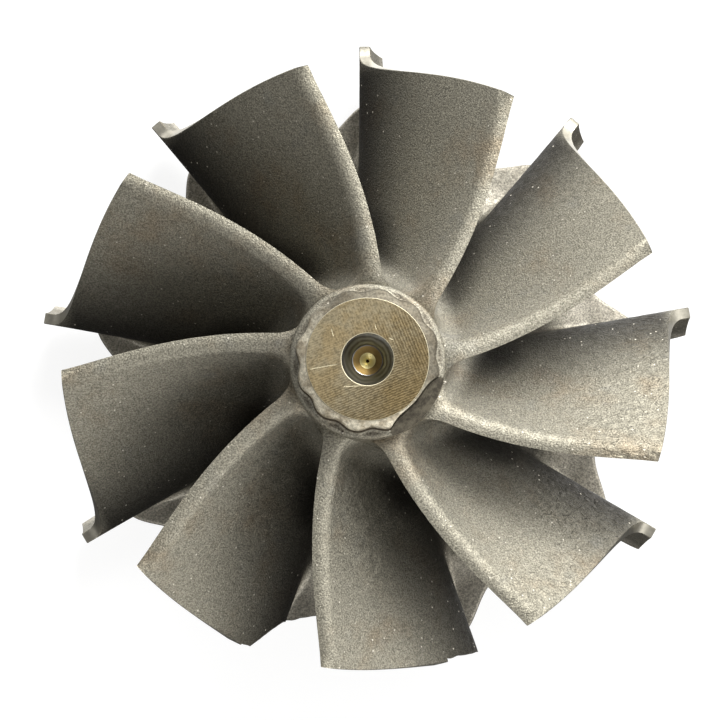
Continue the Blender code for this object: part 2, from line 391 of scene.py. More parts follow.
def span_rows():
    """Rows from inside the hub up to the shroud edge: (kind, place, flare).

    A "sunk" row lies inside the hub, a "root" row at a height above it, a "face" row at a share
    of what is left, and an "edge" row at a depth below the shroud edge.
    """
    rows = [("sunk", 0, 1.0), ("root", -0.05 * MM, 1.0)]
    for step in range(1, FILLET_ROWS + 1):
        turn = math.pi / 2 * (1 - step / FILLET_ROWS)
        rows.append(("root", FILLET_HEIGHT * (1 - math.sin(turn)), 1 - math.cos(turn)))
    rows += [("face", step / FACE_ROWS, 0.0) for step in range(1, FACE_ROWS)]
    rows += [("edge", EDGE_BREAK, 0.0), ("edge", 0, 0.0)]
    return rows


def row_place(kind, place, t, wheel):
    """Radius, height and span share along one row."""
    if kind == "sunk":
        return *sunk_point(t, wheel), np.zeros_like(t)
    inner = np.array(root_point(t, wheel))
    outer = np.array(shroud_point(t, wheel))
    length = np.hypot(*(outer - inner))
    first = FILLET_HEIGHT / length
    last = 1 - EDGE_BREAK / length
    span = {
        "root": place / length,
        "face": blend(first, last, place),
        "edge": 1 - place / length,
    }[kind]
    return *blend(inner, outer, span), np.clip(span, 0, 1)


def blade_line(kind, place, flare, t, side, wheel):
    """One row of the blade's skin on one side: its points, at the chord places t."""
    radius, height, span = row_place(kind, place, t, wheel)
    half = blade_half(t, span, flare, wheel)
    if kind == "edge" and place == 0:
        half = half - EDGE_BREAK
    return skin_points(t, radius, height, half, side, wheel)


def resample(line, away, wanted):
    """Points on the line at the wanted distances along it."""
    return np.stack([np.interp(wanted, away, line[:, i]) for i in range(3)], -1)


def lengths(line):
    return np.concatenate([[0], np.cumsum(np.linalg.norm(np.diff(line, axis=0), axis=1))])


def blade_grid(wheel):
    """The blade's two skins, as arrays of points by side, row and chord place.

    The back face runs up to the outlet edge's crest, with a narrow bevel below it. The front face rolls
    off level from the crest, over a rounded shoulder, and goes on down the blade.
    """
    fine = np.linspace(0, 1, FINE_ROWS) ** OUTLET_CROWDING
    share = np.linspace(0, 1, OUTLET_ROWS)[:, None]
    sides = ([], [])
    for kind, place, flare in span_rows():
        front = blade_line(kind, place, flare, fine, 1, wheel)
        back = blade_line(kind, place, flare, fine, -1, wheel)
        crest = back[0]
        away = lengths(front)
        level = CREST_TILT * np.interp(-crest[2], -front[:, 2], away)
        knee = resample(front, away, np.array([level]))[0]
        end = level + OUTLET_ROUND * np.linalg.norm(knee - crest)
        start = resample(front, away, np.array([end]))[0]
        crest = crest + (knee - crest) / np.linalg.norm(knee - crest) * CREST_BREAK
        shoulder = (1 - share) ** 2 * crest + 2 * share * (1 - share) * knee + share**2 * start
        face = resample(front, away, np.linspace(end, away[-1] - EDGE_BREAK, CHORD_ROWS)[1:])
        sides[0].append(np.concatenate([shoulder, face, front[-1:]]))
        away = lengths(back)
        first = np.linspace(CREST_BREAK * 2, end, OUTLET_ROWS - 1)
        rest = np.linspace(end, away[-1] - EDGE_BREAK, CHORD_ROWS)[1:]
        face = resample(back, away, np.concatenate([first, rest]))
        sides[1].append(np.concatenate([[crest], face, back[-1:]]))
    grid = np.array(sides)
    middle = (grid[0, :, -1] + grid[1, :, -1]) / 2
    across = grid[:, :, -1] - middle
    grid[:, :, -1] -= across / np.linalg.norm(across, axis=-1, keepdims=True) * EDGE_BREAK
    return grid


def new_object(name, points, faces, materials=(), numbers=None):
    mesh = bpy.data.meshes.new(name)
    mesh.from_pydata([tuple(p) for p in points], [], faces)
    for material in materials:
        mesh.materials.append(material)
    if numbers is not None:
        mesh.polygons.foreach_set("material_index", numbers)
    mesh.validate()
    obj = bpy.data.objects.new(name, mesh)
    bpy.context.scene.collection.objects.link(obj)
    return obj


def tube(rings, sides):
    """Faces of a tube of stacked rings of points; the last two close its ends."""
    faces = []
    for first in range(0, (rings - 1) * sides, sides):
        for i in range(sides):
            j = (i + 1) % sides
            faces.append((first + i, first + j, first + sides + j, first + sides + i))
    end = (rings - 1) * sides
    return [*faces, tuple(range(sides)), tuple(range(end, end + sides))]


def merge_and_face_out(obj):
    """Joins doubled points and turns all faces outwards."""
    bm = bmesh.new()
    bm.from_mesh(obj.data)
    bmesh.ops.remove_doubles(bm, verts=bm.verts, dist=1e-7)
    bmesh.ops.dissolve_degenerate(bm, edges=bm.edges, dist=1e-8)
    bmesh.ops.recalc_face_normals(bm, faces=bm.faces)
    bm.to_mesh(obj.data)
    bm.free()


def make_blade(wheel):
    """One blade as a closed skin, with a face attribute on its machined edges."""
    grid = blade_grid(wheel)
    number = np.arange(grid[..., 0].size).reshape(grid.shape[:3])
    front, back = number
    faces = []
    machined = []

    def quads(a, b, c, d, mark):
        found = np.stack((a, b, c, d), -1).reshape(-1, 4).tolist()
        faces.extend(found)
        machined.extend([mark] * len(found))

    for skin in (front, back[:, ::-1]):
        quads(skin[:-1, :-1], skin[:-1, 1:], skin[1:, 1:], skin[1:, :-1], False)
    quads(front[-1, :-1], front[-1, 1:], back[-1, 1:], back[-1, :-1], True)
    quads(back[0, :-1], back[0, 1:], front[0, 1:], front[0, :-1], False)
    quads(front[:-1, -1], back[:-1, -1], back[1:, -1], front[1:, -1], True)
    obj = new_object("blade", grid.reshape(-1, 3), faces)
    attribute = obj.data.attributes.new("machined", "BOOLEAN", "FACE")
    attribute.data.foreach_set("value", machined)
    merge_and_face_out(obj)
    return obj


def add(tree, kind, inputs=None, **settings):
    """Adds a node with its settings.

    Inputs holds values, sockets to link from, or nodes, which are linked from their first output.
    """
    node = tree.nodes.new(kind)
    for name, value in settings.items():
        setattr(node, name, value)
    for name, value in (inputs or {}).items():
        if isinstance(value, bpy.types.Node):
            value = value.outputs[0]
        if isinstance(value, bpy.types.NodeSocket):
            tree.links.new(value, node.inputs[name])
        else:
            node.inputs[name].default_value = value
    return node


def new_tree(name, sockets):
    """A Geometry Nodes tree with a geometry output and the named inputs."""
    tree = bpy.data.node_groups.new(name, "GeometryNodeTree")
    tree.interface.new_socket("Geometry", in_out="INPUT", socket_type="NodeSocketGeometry")
    tree.interface.new_socket("Geometry", in_out="OUTPUT", socket_type="NodeSocketGeometry")
    for label, kind in sockets:
        tree.interface.new_socket(label, in_out="INPUT", socket_type=kind)
    return tree, add(tree, "NodeGroupInput").outputs


def run_tree(obj, tree, values):
    """Runs the tree on the object and keeps its result as a plain mesh."""
    modifier = obj.modifiers.new(tree.name, "NODES")
    modifier.node_group = tree
    for item in tree.interface.items_tree:
        if item.item_type == "SOCKET" and item.in_out == "INPUT" and item.name in values:
            modifier[item.identifier] = values[item.name]
    bake(obj)


def bake(obj):
    """Turns the object's evaluated shape into its own plain mesh."""
    bpy.context.view_layer.update()
    graph = bpy.context.evaluated_depsgraph_get()
    mesh = bpy.data.meshes.new_from_object(obj.evaluated_get(graph), depsgraph=graph)
    obj.modifiers.clear()
    obj.data = mesh


def blade_ring_tree(cast, machined):
    """Copies one blade evenly round the axis."""
    tree, given = new_tree("blade_ring", (
        ("Blade", "NodeSocketObject"),
        ("Count", "NodeSocketInt"),
        ("First angle", "NodeSocketFloat"),
    ))
    blade = add(tree, "GeometryNodeObjectInfo", {"Object": given["Blade"]})
    places = add(tree, "GeometryNodePoints", {"Count": given["Count"]})
    pitch = add(tree, "ShaderNodeMath", {0: 2 * math.pi, 1: given["Count"]}, operation="DIVIDE")
    index = add(tree, "GeometryNodeInputIndex")
    turn = add(tree, "ShaderNodeMath", {
        0: index, 1: pitch, 2: given["First angle"],
    }, operation="MULTIPLY_ADD")
    turns = add(tree, "ShaderNodeCombineXYZ", {"Z": turn})
    ring = add(tree, "GeometryNodeInstanceOnPoints", {
        "Points": places, "Instance": blade.outputs["Geometry"], "Rotation": turns,
    })
    real = add(tree, "GeometryNodeRealizeInstances", {"Geometry": ring})
    cast_set = add(tree, "GeometryNodeSetMaterial", {"Geometry": real, "Material": cast})
    mark = add(tree, "GeometryNodeInputNamedAttribute", {"Name": "machined"}, data_type="BOOLEAN")
    edge_set = add(tree, "GeometryNodeSetMaterial", {
        "Geometry": cast_set, "Selection": mark.outputs["Attribute"], "Material": machined,
    })
    add(tree, "NodeGroupOutput", {"Geometry": edge_set})
    return tree


def openness_tree(cast):
    """Stores how much open sky each point sees; the cast alloy is painted dark there, as painted shade,
    where it sees little.

    It casts rays, evenly spread over the sky, from each point and weighs them by its normal.
    """
    tree, given = new_tree("openness", (
        ("Rays", "NodeSocketInt"),
        ("Start", "NodeSocketFloat"),
        ("Blur", "NodeSocketInt"),
    ))
    position = add(tree, "GeometryNodeInputPosition")
    normal = add(tree, "GeometryNodeInputNormal")
    lift = add(tree, "ShaderNodeVectorMath", {0: normal, "Scale": given["Start"]}, operation="SCALE")
    source = add(tree, "ShaderNodeVectorMath", {0: position, 1: lift})
    first = add(tree, "GeometryNodeRepeatInput")
    last = add(tree, "GeometryNodeRepeatOutput")
    first.pair_with_output(last)
    for name in ("Seen", "Whole"):
        last.repeat_items.new("FLOAT", name)
    tree.links.new(given["Rays"], first.inputs["Iterations"])
    tree.links.new(given["Geometry"], first.inputs["Geometry"])
    step = add(tree, "ShaderNodeMath", {0: first.outputs["Iteration"], 1: 0.5})
    height = add(tree, "ShaderNodeMath", {0: step, 1: given["Rays"]}, operation="DIVIDE")
    square = add(tree, "ShaderNodeMath", {0: height, 1: height}, operation="MULTIPLY")
    rest = add(tree, "ShaderNodeMath", {0: 1.0, 1: square}, operation="SUBTRACT")
    flat = add(tree, "ShaderNodeMath", {0: rest}, operation="SQRT")
    turn = add(tree, "ShaderNodeMath", {0: step, 1: GOLDEN_ANGLE}, operation="MULTIPLY")
    level = add(tree, "ShaderNodeCombineXYZ", {"X": flat, "Z": height})
    ray = add(tree, "ShaderNodeVectorRotate", {"Vector": level, "Angle": turn}, rotation_type="Z_AXIS")
    cosine = add(tree, "ShaderNodeVectorMath", {0: normal, 1: ray}, operation="DOT_PRODUCT").outputs["Value"]
    weight = add(tree, "ShaderNodeMath", {0: cosine, 1: 0.0}, operation="MAXIMUM")
    hit = add(tree, "GeometryNodeRaycast", {
        "Target Geometry": given["Geometry"],
        "Source Position": source,
        "Ray Direction": ray,
        "Ray Length": RAY_LENGTH,
    }).outputs["Is Hit"]
    clear = add(tree, "ShaderNodeMath", {0: 1.0, 1: hit}, operation="SUBTRACT")
    seen = add(tree, "ShaderNodeMath", {
        0: clear, 1: weight, 2: first.outputs["Seen"],
    }, operation="MULTIPLY_ADD")
    whole = add(tree, "ShaderNodeMath", {0: weight, 1: first.outputs["Whole"]})
    tree.links.new(first.outputs["Geometry"], last.inputs["Geometry"])
    tree.links.new(seen.outputs[0], last.inputs["Seen"])
    tree.links.new(whole.outputs[0], last.inputs["Whole"])
    whole = add(tree, "ShaderNodeMath", {0: last.outputs["Whole"], 1: LEAST_SKY}, operation="MAXIMUM")
    share = add(tree, "ShaderNodeMath", {0: last.outputs["Seen"], 1: whole}, operation="DIVIDE")
    blurred = add(tree, "GeometryNodeBlurAttribute", {"Value": share, "Iterations": given["Blur"]})
    store = add(tree, "GeometryNodeStoreNamedAttribute", {
        "Geometry": last.outputs["Geometry"], "Name": "openness", "Value": blurred,
    })
    real = add(tree, "GeometryNodeRealizeInstances", {"Geometry": store})
    skin = add(tree, "GeometryNodeMaterialSelection", {"Material": cast})
    done = add(tree, "GeometryNodeSetMaterial", {"Geometry": real, "Selection": skin, "Material": cast})
    add(tree, "NodeGroupOutput", {"Geometry": done})
    return tree


def make_blade_ring(wheel):
    blade = make_blade(wheel)
    ring = new_object("blade_ring", [], [])
    tree = blade_ring_tree(finish("cast"), finish("edge"))
    run_tree(ring, tree, {"Blade": blade, "Count": wheel.blades, "First angle": FIRST_TIP})
    bpy.data.objects.remove(blade)
    return ring


def rim_radius(angle, wheel):
    """Radius of the disc's rim, which turns out into a horn at each blade."""
    fin = FIRST_TIP + float(camber(DISC_RADIUS, DISC_FRONT, wheel))
    pitch = 2 * math.pi / wheel.blades
    away = np.abs((angle - fin + pitch / 2) % pitch - pitch / 2) * DISC_RADIUS
    return DISC_RADIUS + DISC_HORN * np.exp(-((away / DISC_HORN_WIDTH) ** 2))


def round_corner(radius, height, size, start, end, steps=5):
    """Radii and heights on an arc about a point, between two turns in degrees."""
    turns = np.radians(np.linspace(start, end, steps))
    return [(radius + size * math.cos(a), height + size * math.sin(a)) for a in turns]


def make_turned(name, rings, angles, materials, numbers):
    """A closed shape from rings of points; the first and last rings shrink to their middles."""
    sides = len(angles)
    points = [point for ring in rings for point in ring]
    faces = tube(len(rings), sides)[:-2]  # without its flat ends
    marks = [numbers[level] for level in range(len(rings) - 1) for _ in angles]
    top = (len(rings) - 1) * sides
    for ring, first, number in ((rings[0], 0, numbers[0]), (rings[-1], top, numbers[-1])):
        middle = len(points)
        points.append(np.mean(ring, axis=0))
        for i in range(sides):
            faces.append((first + i, first + (i + 1) % sides, middle))
            marks.append(number)
    obj = new_object(name, points, faces, materials, marks)
    merge_and_face_out(obj)
    return obj


def make_hub(wheel):
    """Boss, scalloped disc, hub and collar, as rings about the axis."""
    angles = np.linspace(0, 2 * math.pi, wheel.blades * HUB_SIDES, endpoint=False)
    rim = rim_radius(angles, wheel) - RIM_ROUND
    profile = [(BOSS_RADIUS / 4, 0)]
    profile += round_corner(BOSS_RADIUS - BOSS_EDGE, BOSS_EDGE, BOSS_EDGE, -90, 0)
    profile += [(BOSS_RADIUS, BACK_PLANE - BOSS_FILLET)]
    profile += round_corner(BOSS_RADIUS + BOSS_FILLET, BACK_PLANE - BOSS_FILLET, BOSS_FILLET, 165, 90)
    profile += [(r, BACK_PLANE) for r in DISC_RINGS]
    rings = [polar(r, angles, z) for r, z in profile]
    corners = round_corner(0, BACK_PLANE + RIM_ROUND, RIM_ROUND, -90, 0)
    corners += round_corner(0, DISC_FRONT - RIM_ROUND, RIM_ROUND, 0, 90)
    rings += [polar(rim + r, angles, z) for r, z in corners]
    profile = [hub_point(step / HUB_ROWS) for step in range(HUB_ROWS - 1, -1, -1)]
    profile += round_corner(COLLAR_RADIUS - COLLAR_ROUND, COLLAR_TOP - COLLAR_ROUND, COLLAR_ROUND, 0, 90, 7)
    profile += [(CORE_RADIUS, COLLAR_TOP)]
    rings += [polar(r, angles, z) for r, z in profile]
    return make_turned("hub", rings, angles, [finish("cast")], [0] * len(rings))


def drive_radius(angle):
    """The 12-point drive's outline: two hexagons, with rounded cast points and valleys."""
    radius = []
    for start in (0, math.radians(30)):
        turn = (angle - FIRST_DRIVE_POINT - start) % math.radians(60) - math.radians(30)
        radius.append(DRIVE_FLATS / 2 / np.cos(turn))
    outline = np.mean([r**DRIVE_VALLEY for r in radius], axis=0) ** (1 / DRIVE_VALLEY)
    over = (outline - DRIVE_CORNER) / DRIVE_ROUND
    return DRIVE_CORNER + DRIVE_ROUND * (over - np.logaddexp(0, over * 3) / 3)


def make_nose():
    """The drive, its chamfer and face, and the centre drill hole down the middle."""
    angles = np.linspace(0, 2 * math.pi, NOSE_SIDES, endpoint=False)
    star = drive_radius(angles)
    slope = math.tan(DRIVE_CHAMFER)
    chamfer_top = NOSE_TOP - FACE_STEP
    outer = FACE_RADIUS + FACE_EDGE
    rings = [
        polar(CORE_RADIUS, angles, COLLAR_TOP - MM),
        polar(star + DRIVE_FOOT, angles, COLLAR_TOP - 0.6 * MM),
    ]
    for r, z in round_corner(DRIVE_FOOT, COLLAR_TOP + DRIVE_FOOT, DRIVE_FOOT, 270, 180):
        rings.append(polar(star + r, angles, z))
    marks = ["cast"] * len(rings)
    for inset, drop, mark in DRIVE_EDGE:
        height = chamfer_top - slope * (star - outer) - (drop - slope * inset)
        rings.append(polar(star - inset, angles, height))
        marks.append(mark)
    floor_end = -DRILL_SEAT_DEPTH - (DRILL_SEAT - DRILL_PILOT) / math.tan(DRILL_POINT)
    profile = [
        (outer, -FACE_STEP, "edge"),
        (FACE_RADIUS, -EDGE_DROP, "scratch"),
        (FACE_RADIUS - 0.04 * MM, 0, "face"),
        (5.3 * MM, 0, "face"),
        (4.1 * MM, 0, "face"),
        (DRILL_MOUTH + 0.07 * MM, 0, "scratch"),
        (DRILL_MOUTH, -EDGE_DROP, "drill"),
    ]
    bottom = -(DRILL_MOUTH - DRILL_SEAT) / math.tan(DRILL_CONE)
    for share in np.linspace(0, 1, 6)[1:]:
        profile.append((blend(DRILL_MOUTH, DRILL_SEAT, share), blend(-EDGE_DROP, bottom, share), "drill"))
    profile.append((DRILL_SEAT, -DRILL_SEAT_DEPTH, "drill"))
    for share in (0.12, 0.55):
        height = blend(-DRILL_SEAT_DEPTH, floor_end, share)
        profile.append((blend(DRILL_SEAT, DRILL_PILOT, share), height, "seat"))
    profile += [
        (DRILL_PILOT, floor_end, "pilot"),
        (DRILL_PILOT * 0.6, floor_end - 0.22 * MM, "pilot"),
        (DRILL_PILOT * 0.24, floor_end - 0.5 * MM, "pilot"),
        (DRILL_PILOT * 0.22, -DRILL_DEPTH, "pilot"),
        (DRILL_PILOT * 0.1, -DRILL_DEPTH - 0.1 * MM, "pilot"),
    ]
    for radius, height, mark in profile:
        rings.append(polar(radius, angles, NOSE_TOP + height))
        marks.append(mark)
    names = ["cast", "edge", "face", "scratch", "drill", "seat", "pilot", "drive"]
    numbers = [names.index(mark) for mark in marks]
    return make_turned("nose", rings, angles, [finish(name) for name in names], numbers)


def make_balance_cutter():
    """The ground arc's form: a step round one side of the nose that runs out at both ends."""
    points = []
    for share in np.linspace(-1, 1, GRIND_STEPS + 1):
        inner = blend(GRIND_RADIUS, GRIND_RUN_OUT, share**GRIND_SHAPE)
        places = (
            (inner, NOSE_TOP + MM),
            (inner, GRIND_FLOOR + 0.35 * MM),
            (inner + 0.12 * MM, GRIND_FLOOR + 0.1 * MM),
            (inner + 0.4 * MM, GRIND_FLOOR),
            (GRIND_OUTER, GRIND_FLOOR - GRIND_FALL),
            (GRIND_OUTER, NOSE_TOP + MM),
        )
        points += [polar(r, GRIND_MIDDLE + share * GRIND_HALF, z) for r, z in places]
    obj = new_object("balance_cutter", points, tube(GRIND_STEPS + 1, len(places)), [finish("ground")])
    merge_and_face_out(obj)
    return obj


def make_scratch_cutters():
    """Narrow V grooves across the nose face, tapering out at their ends."""
    cutters = []
    for start, end in SCRATCHES:
        start, end = (Vector((x * MM, y * MM, NOSE_TOP)) for x, y in (start, end))
        along = (end - start).normalized()
        side = Vector((-along.y, along.x, 0)) * SCRATCH_WIDTH / 2
        deep = Vector((0, 0, -SCRATCH_DEPTH))
        lift = Vector((0, 0, SCRATCH_DEPTH))
        inset = (end - start) * SCRATCH_TAPER
        points = [start + lift / 4, start + inset + deep, end - inset + deep, end + lift / 4]
        for sign in (1, -1):
            points += [start + inset + side * 2 * sign + lift, end - inset + side * 2 * sign + lift]
        cutter = new_object("scratch_cutter", points, [
            (0, 1, 4), (1, 2, 5, 4), (2, 3, 5), (0, 6, 1), (1, 6, 7, 2), (2, 7, 3), (0, 4, 5, 3, 7, 6),
        ], [finish("scratch")])
        merge_and_face_out(cutter)
        cutters.append(cutter)
    return cutters


def make_nubs():
    """Small cast lumps on the collar."""
    nubs = []
    for angle, radius, height, size in NUBS:
        bm = bmesh.new()
        place = Vector(polar(radius, angle, height))
        bmesh.ops.create_icosphere(bm, subdivisions=2, radius=size, matrix=Matrix.Translation(place))
        for vert in bm.verts:
            vert.co += vert.normal * noise.noise(vert.co / NUB_GRAIN) * size * NUB_ROUGHNESS
        nub = new_object("nub", [], [], [finish("bead")])
        bm.to_mesh(nub.data)
        bm.free()
        nubs.append(nub)
    return nubs


def make_break_cutter(edge, number):
    """A block outside a broken edge, whose inner wall is rough like a snapped casting."""
    corners = [Vector((x * MM, y * MM, 0)) for x, y in edge]
    line = [corners[0]]
    for start, end in zip(corners, corners[1:]):
        steps = max(1, round((end - start).length / BREAK_STEP))
        line += [start.lerp(end, (i + 1) / steps) for i in range(steps)]
    levels = int((BREAK_TOP + MM) / BREAK_STEP)
    outer = [p.normalized() * BREAK_OUT for p in reversed(line)]
    points = []
    for level in range(levels + 1):
        up = Vector((0, 0, blend(-MM, BREAK_TOP, level / levels)))
        for p in line:
            place = (p + up) / BREAK_GRAIN + Vector((number * BREAK_APART, 0, 0))
            push = noise.fractal(place, 1.0, 2.0, 4) * BREAK_ROUGHNESS
            points.append(p + p.normalized() * push + up)
        points += [p + up for p in outer]
    obj = new_object("break_cutter", points, tube(levels + 1, 2 * len(line)), [finish("fracture")])
    merge_and_face_out(obj)
    return obj


def combine(obj, tools, operation):
    """Joins or cuts the object with each tool, and deletes the tools."""
    for tool in tools:
        modifier = obj.modifiers.new(tool.name, "BOOLEAN")
        modifier.operation = operation
        modifier.solver = "MANIFOLD"
        modifier.material_mode = "TRANSFER"
        modifier.object = tool
    bake(obj)
    for tool in tools:
        bpy.data.objects.remove(tool)


def shade(obj, angle):
    """Smooth faces, with sharp edges past the angle and wherever the finish changes."""
    mesh = obj.data
    mesh.shade_smooth()
    mesh.set_sharp_from_angle(angle=math.radians(angle))
    finishes = [set() for _ in mesh.edges]
    edges = np.zeros(len(mesh.loops), dtype=int)
    mesh.loops.foreach_get("edge_index", edges)
    for face in mesh.polygons:
        for loop in face.loop_indices:
            finishes[edges[loop]].add(face.material_index)
    sharp = mesh.attributes["sharp_edge"].data
    for edge, used in zip(sharp, finishes):
        if len(used) > 1:
            edge.value = True


def keep_piece(obj):
    """Parents the finished piece to the root body, which it moves with."""
    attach(obj, "root")


def finish(name):
    """The material of one finish, made on first use."""
    paint = {
        "cast": blasted_cast_alloy,
        "edge": turned_alloy,
        "face": ground_face_alloy,
        "scratch": rubbed_alloy,
        "drill": drilled_alloy,
        "seat": heat_tinted_alloy,
        "pilot": straw_tinted_alloy,
        "ground": hand_ground_alloy,
        "fracture": fractured_alloy,
        "drive": drive_chamfer_alloy,
        "bead": casting_bead_alloy,
        "floor": matt_paper,
    }[name]
    return bpy.data.materials.get(paint.__name__) or new_material(paint)


def new_material(paint):
    """A metal, or what else the paint function says when it gives the shader's inputs."""
    material = bpy.data.materials.new(paint.__name__)
    material.use_nodes = True
    tree = material.node_tree
    tree.nodes.clear()
    place = add(tree, "ShaderNodeTexCoord").outputs["Object"]
    shader = add(tree, "ShaderNodeBsdfPrincipled", {"Metallic": 1.0, **paint(tree, place)})
    add(tree, "ShaderNodeOutputMaterial", {"Surface": shader})
    return material


def blasted_cast_alloy(tree, place):
    """Investment-cast nickel alloy, blasted with fine grit: a dull warm grey with a sandy grain,
    brown heat patches, painted shade hidden and low in the passages, a paler painted disc, painted glints."""
    wheel = bpy.context.scene.turbine_wheel
    height = add(tree, "ShaderNodeSeparateXYZ", {"Vector": place}).outputs["Z"]
    open_sky = add(tree, "ShaderNodeAttribute", attribute_name="openness").outputs["Fac"]
    flat = add(tree, "ShaderNodeVectorMath", {0: place, 1: (1, 1, 0)}, operation="MULTIPLY")
    radius = add(tree, "ShaderNodeVectorMath", {0: flat}, operation="LENGTH").outputs["Value"]
    # The skin is crinkled toward the tips of the blades on the lower right, in folds rising to the right
    toward = add(tree, "ShaderNodeVectorMath", {0: place, 1: (0.906, -0.423, 0)}, operation="DOT_PRODUCT")
    turned = add(tree, "ShaderNodeMapping", {
        "Vector": place, "Rotation": (0, 0, math.radians(-28)), "Scale": (0.5, 1, 1),
    })
    # Grit marks are nearer 0.1 mm; they are drawn at 0.18 mm, the finest that the photo's scale shows
    fine, pits, patches, stains, folds = (
        add(tree, "ShaderNodeTexNoise", {
            "Vector": vector, "Scale": 1 / (size * MM), "Detail": detail, "Roughness": rough,
        })
        for vector, size, detail, rough in (
            (place, 0.18, 2, 0.6), (place, 0.8, 3, 0.6), (place, 9, 4, 0.65), (place, 3.5, 3, 0.6),
            (turned, 0.65, 2, 0.5),
        )
    )
    # Painted glints: rare single cells are painted as bright dots in the colour
    glint_cells = add(tree, "ShaderNodeTexVoronoi", {"Vector": place, "Scale": 1 / (0.6 * MM)})
    chance = add(tree, "ShaderNodeSeparateColor", {"Color": glint_cells.outputs["Color"]})
    # Warm are the brown heat patches and cool the blue-grey stains; disc paints the disc paler, a painted
    # lift standing in for the light it catches
    share = {
        name: add(tree, "ShaderNodeMapRange", {0: value, 1: start, 2: end, 3: first, 4: last}, **SOFT)
        for name, (value, start, end, first, last) in {
            "warm": (patches, 0.48, 0.75, 0, 0.45),
            "cool": (stains, 0.56, 0.8, 0, 0.3),
            "disc": (height, 3.7 * MM, 5.2 * MM, 0.8, 0),
            "hidden": (open_sky, 0.2, 0.42, 0.9, 0),
            "low": (height, 13 * MM, 23.5 * MM, 0.88, 0),
            "above disc": (height, 3.8 * MM, 6 * MM, 0.15, 1),
            "inlet": (radius, 33.3 * MM, 35.5 * MM, 1, 0.3),
            "foot": (height, 31.8 * MM, 32.6 * MM, 0, 0.9),
            "corner": (open_sky, 0.45, 0.85, 1, 0),
            "wall": (height, 32.85 * MM, 33.1 * MM, 0, 0.88),
            "speckle": (fine, 0.3, 0.7, 0.6, 1.42),
            "rare": (chance, 0.86, 0.9, 0, 1),
            "close": (glint_cells, 0.08, 0.22, 1, 0),
            "crinkled": (toward.outputs["Value"], 19 * MM, 30 * MM, 0, 1.2),
            "ridges": (folds, 0.5, 0.66, 0, 1),
            "dullness": (pits, 0.3, 0.7, 0.52, 0.68),
        }.items()
    }

    # Painted shade: darker in hidden corners that see little sky and low between the blades, thinner on the
    # disc and at the inlet edges.
    # Painted shade also in the corner at the drive's foot and up its wall.
    painted_shade = add(tree, "ShaderNodeMath", {0: share["hidden"], 1: share["low"]}, operation="MAXIMUM")
    painted_shade = add(tree, "ShaderNodeMath", {0: painted_shade, 1: share["above disc"]}, operation="MULTIPLY")
    painted_shade = add(tree, "ShaderNodeMath", {0: painted_shade, 1: share["inlet"]}, operation="MULTIPLY")
    # Painted shade in the corner at the drive's foot and up its wall
    painted_foot_shade = add(tree, "ShaderNodeMath", {0: share["foot"], 1: share["corner"]}, operation="MULTIPLY")
    painted_foot_shade = add(tree, "ShaderNodeMath", {0: painted_foot_shade, 1: share["wall"]}, operation="MAXIMUM")
    # Painted glints mixed into the colour
    painted_glint = add(tree, "ShaderNodeMath", {0: share["rare"], 1: share["close"]}, operation="MULTIPLY")
    tone = wheel.alloy_colour
    for cover, colour in (
        (share["warm"], linear("#7D6B53")),
        (share["cool"], linear("#70716F")),
        # Painted light: the disc is painted paler, as the light falling on it makes it look
        (share["disc"], linear("#A09B8F")),
        # Painted shade low and hidden in the passages, then painted shade at the drive's foot
        (painted_shade, wheel.painted_shade_colour),
        (painted_foot_shade, linear("#3E3022")),
    ):
        tone = add(tree, "ShaderNodeMix", {0: cover, 6: tone, 7: colour}, data_type="RGBA").outputs[2]
    tone = add(tree, "ShaderNodeVectorMath", {0: tone, 1: share["speckle"]}, operation="MULTIPLY")
    tone = add(tree, "ShaderNodeMix", {0: painted_glint, 6: tone, 7: linear("#D2CCBE")}, data_type="RGBA").outputs[2]

    relief = add(tree, "ShaderNodeMath", {
        0: share["ridges"], 1: share["crinkled"], 2: fine,
    }, operation="MULTIPLY_ADD")
    relief = add(tree, "ShaderNodeMath", {0: pits, 1: 0.5, 2: relief}, operation="MULTIPLY_ADD")
    bump = add(tree, "ShaderNodeBump", {
        "Strength": share["above disc"], "Distance": 0.065 * MM, "Height": relief,
    })
    return {"Base Color": tone, "Roughness": share["dullness"], "Normal": bump}


def turned_alloy(tree, place):
    """Machined edges, turned on a lathe: bare metal that shows as a thin bright line."""
    grooves = add(tree, "ShaderNodeTexNoise", {"Vector": place, "Scale": 1 / (0.5 * MM)})
    tone = add(tree, "ShaderNodeMix", {
        0: grooves, 6: linear("#ACA79A"), 7: linear("#838075"),
    }, data_type="RGBA").outputs[2]
    return {"Base Color": tone, "Roughness": 0.4}


